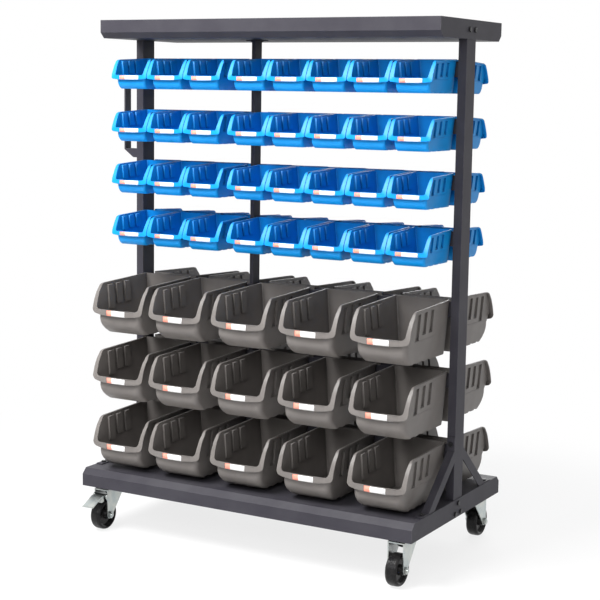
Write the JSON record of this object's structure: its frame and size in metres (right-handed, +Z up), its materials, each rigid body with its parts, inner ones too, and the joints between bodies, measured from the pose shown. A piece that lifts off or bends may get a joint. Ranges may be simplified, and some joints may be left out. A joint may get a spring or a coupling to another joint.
{
  "type": "mobile parts bin rack",
  "caption": "Two-sided steel rack on swivel casters with an open top tray; rails between its posts carry hook-on hopper-front plastic bins, small above and large below.",
  "frame": {"origin": "on the floor, under the middle of the base, midway between the four casters' swivel axes", "axes": "+Z up, +X along the rack away from the pull handle, -Y toward the front (the side that the picture shows)"},
  "size_m": [0.9495, 0.582, 1.247],
  "materials": {
    "frame": "charcoal powder coat",
    "fastener": "black oxide",
    "zinc": "bright zinc plate",
    "wheel": "black moulded rubber",
    "blue_bin": "satin moulded plastic",
    "grey_bin": "satin moulded plastic"
  },
  "bodies": {
    "rack": {"base_tray": "frame", "caster_channels": "frame", "top_tray": "frame", "left_post": "frame", "right_post": "frame", "middle_post": "frame", "corner_braces": "frame", "pull_handle": "frame", "small_bin_rails": "frame", "large_bin_rails": "frame", "rail_angles": "frame", "frame_bolts": "fastener", "rail_screws": "fastener", "caster_bolts": "zinc", "front_left_caster_plate": "zinc", "front_right_caster_plate": "zinc", "back_left_caster_plate": "zinc", "back_right_caster_plate": "zinc", "front_row1_bins": "blue_bin", "front_row2_bins": "blue_bin", "front_row3_bins": "blue_bin", "front_row4_bins": "blue_bin", "front_row5_bins": "grey_bin", "front_row6_bins": "grey_bin", "front_row7_bins": "grey_bin", "back_row1_bins": "blue_bin", "back_row2_bins": "blue_bin", "back_row3_bins": "blue_bin", "back_row4_bins": "blue_bin", "back_row5_bins": "grey_bin", "back_row6_bins": "grey_bin", "back_row7_bins": "grey_bin"},
    "front_left_swivel": {"front_left_caster_fork": "zinc", "front_left_caster_axle": "zinc"},
    "front_left_roller": {"front_left_wheel": "wheel"},
    "front_left_brake": {"front_left_brake_pedal": "zinc"},
    "front_right_swivel": {"front_right_caster_fork": "zinc", "front_right_caster_axle": "zinc"},
    "front_right_roller": {"front_right_wheel": "wheel"},
    "back_left_swivel": {"back_left_caster_fork": "zinc", "back_left_caster_axle": "zinc"},
    "back_left_roller": {"back_left_wheel": "wheel"},
    "back_left_brake": {"back_left_brake_pedal": "zinc"},
    "back_right_swivel": {"back_right_caster_fork": "zinc", "back_right_caster_axle": "zinc"},
    "back_right_roller": {"back_right_wheel": "wheel"},
    "front_row1_loose_bin": {"front_row1_loose_bin": "blue_bin"},
    "front_row2_loose_bin": {"front_row2_loose_bin": "blue_bin"},
    "front_row3_loose_bin": {"front_row3_loose_bin": "blue_bin"},
    "front_row4_loose_bin": {"front_row4_loose_bin": "blue_bin"},
    "front_row5_loose_bin": {"front_row5_loose_bin": "grey_bin"},
    "front_row6_loose_bin": {"front_row6_loose_bin": "grey_bin"},
    "front_row7_loose_bin": {"front_row7_loose_bin": "grey_bin"},
    "back_row1_loose_bin": {"back_row1_loose_bin": "blue_bin"},
    "back_row2_loose_bin": {"back_row2_loose_bin": "blue_bin"},
    "back_row3_loose_bin": {"back_row3_loose_bin": "blue_bin"},
    "back_row4_loose_bin": {"back_row4_loose_bin": "blue_bin"},
    "back_row5_loose_bin": {"back_row5_loose_bin": "grey_bin"},
    "back_row6_loose_bin": {"back_row6_loose_bin": "grey_bin"},
    "back_row7_loose_bin": {"back_row7_loose_bin": "grey_bin"}
  },
  "joints": [
    {"name": "front_left_swivel", "type": "hinge", "parent": "rack", "child": "front_left_swivel", "pos_m": [-0.405, -0.195, 0.1], "axis": [0, 0, 1], "continuous": true},
    {"name": "front_left_roll", "type": "hinge", "parent": "front_left_swivel", "child": "front_left_roller", "pos_m": [-0.405, -0.225, 0.0375], "axis": [1, 0, 0], "continuous": true},
    {"name": "front_left_brake", "type": "hinge", "parent": "front_left_swivel", "child": "front_left_brake", "pos_m": [-0.405, -0.233, 0.084], "axis": [1, 0, 0], "range_deg": [0, 13]},
    {"name": "front_right_swivel", "type": "hinge", "parent": "rack", "child": "front_right_swivel", "pos_m": [0.405, -0.195, 0.1], "axis": [0, 0, 1], "continuous": true},
    {"name": "front_right_roll", "type": "hinge", "parent": "front_right_swivel", "child": "front_right_roller", "pos_m": [0.405, -0.225, 0.0375], "axis": [1, 0, 0], "continuous": true},
    {"name": "back_left_swivel", "type": "hinge", "parent": "rack", "child": "back_left_swivel", "pos_m": [-0.405, 0.195, 0.1], "axis": [0, 0, 1], "continuous": true},
    {"name": "back_left_roll", "type": "hinge", "parent": "back_left_swivel", "child": "back_left_roller", "pos_m": [-0.405, 0.225, 0.0375], "axis": [1, 0, 0], "continuous": true},
    {"name": "back_left_brake", "type": "hinge", "parent": "back_left_swivel", "child": "back_left_brake", "pos_m": [-0.405, 0.233, 0.084], "axis": [-1, 0, 0], "range_deg": [0, 13]},
    {"name": "back_right_swivel", "type": "hinge", "parent": "rack", "child": "back_right_swivel", "pos_m": [0.405, 0.195, 0.1], "axis": [0, 0, 1], "continuous": true},
    {"name": "back_right_roll", "type": "hinge", "parent": "back_right_swivel", "child": "back_right_roller", "pos_m": [0.405, 0.225, 0.0375], "axis": [1, 0, 0], "continuous": true},
    {"name": "front_row1_bin_lift", "type": "slide", "parent": "rack", "child": "front_row1_loose_bin", "axis": [0, 0, 1], "range_m": [0, 0.02]},
    {"name": "front_row2_bin_lift", "type": "slide", "parent": "rack", "child": "front_row2_loose_bin", "axis": [0, 0, 1], "range_m": [0, 0.02]},
    {"name": "front_row3_bin_lift", "type": "slide", "parent": "rack", "child": "front_row3_loose_bin", "axis": [0, 0, 1], "range_m": [0, 0.02]},
    {"name": "front_row4_bin_lift", "type": "slide", "parent": "rack", "child": "front_row4_loose_bin", "axis": [0, 0, 1], "range_m": [0, 0.02]},
    {"name": "front_row5_bin_lift", "type": "slide", "parent": "rack", "child": "front_row5_loose_bin", "axis": [0, 0, 1], "range_m": [0, 0.02]},
    {"name": "front_row6_bin_lift", "type": "slide", "parent": "rack", "child": "front_row6_loose_bin", "axis": [0, 0, 1], "range_m": [0, 0.02]},
    {"name": "front_row7_bin_lift", "type": "slide", "parent": "rack", "child": "front_row7_loose_bin", "axis": [0, 0, 1], "range_m": [0, 0.02]},
    {"name": "back_row1_bin_lift", "type": "slide", "parent": "rack", "child": "back_row1_loose_bin", "axis": [0, 0, 1], "range_m": [0, 0.02]},
    {"name": "back_row2_bin_lift", "type": "slide", "parent": "rack", "child": "back_row2_loose_bin", "axis": [0, 0, 1], "range_m": [0, 0.02]},
    {"name": "back_row3_bin_lift", "type": "slide", "parent": "rack", "child": "back_row3_loose_bin", "axis": [0, 0, 1], "range_m": [0, 0.02]},
    {"name": "back_row4_bin_lift", "type": "slide", "parent": "rack", "child": "back_row4_loose_bin", "axis": [0, 0, 1], "range_m": [0, 0.02]},
    {"name": "back_row5_bin_lift", "type": "slide", "parent": "rack", "child": "back_row5_loose_bin", "axis": [0, 0, 1], "range_m": [0, 0.02]},
    {"name": "back_row6_bin_lift", "type": "slide", "parent": "rack", "child": "back_row6_loose_bin", "axis": [0, 0, 1], "range_m": [0, 0.02]},
    {"name": "back_row7_bin_lift", "type": "slide", "parent": "rack", "child": "back_row7_loose_bin", "axis": [0, 0, 1], "range_m": [0, 0.02]}
  ]
}
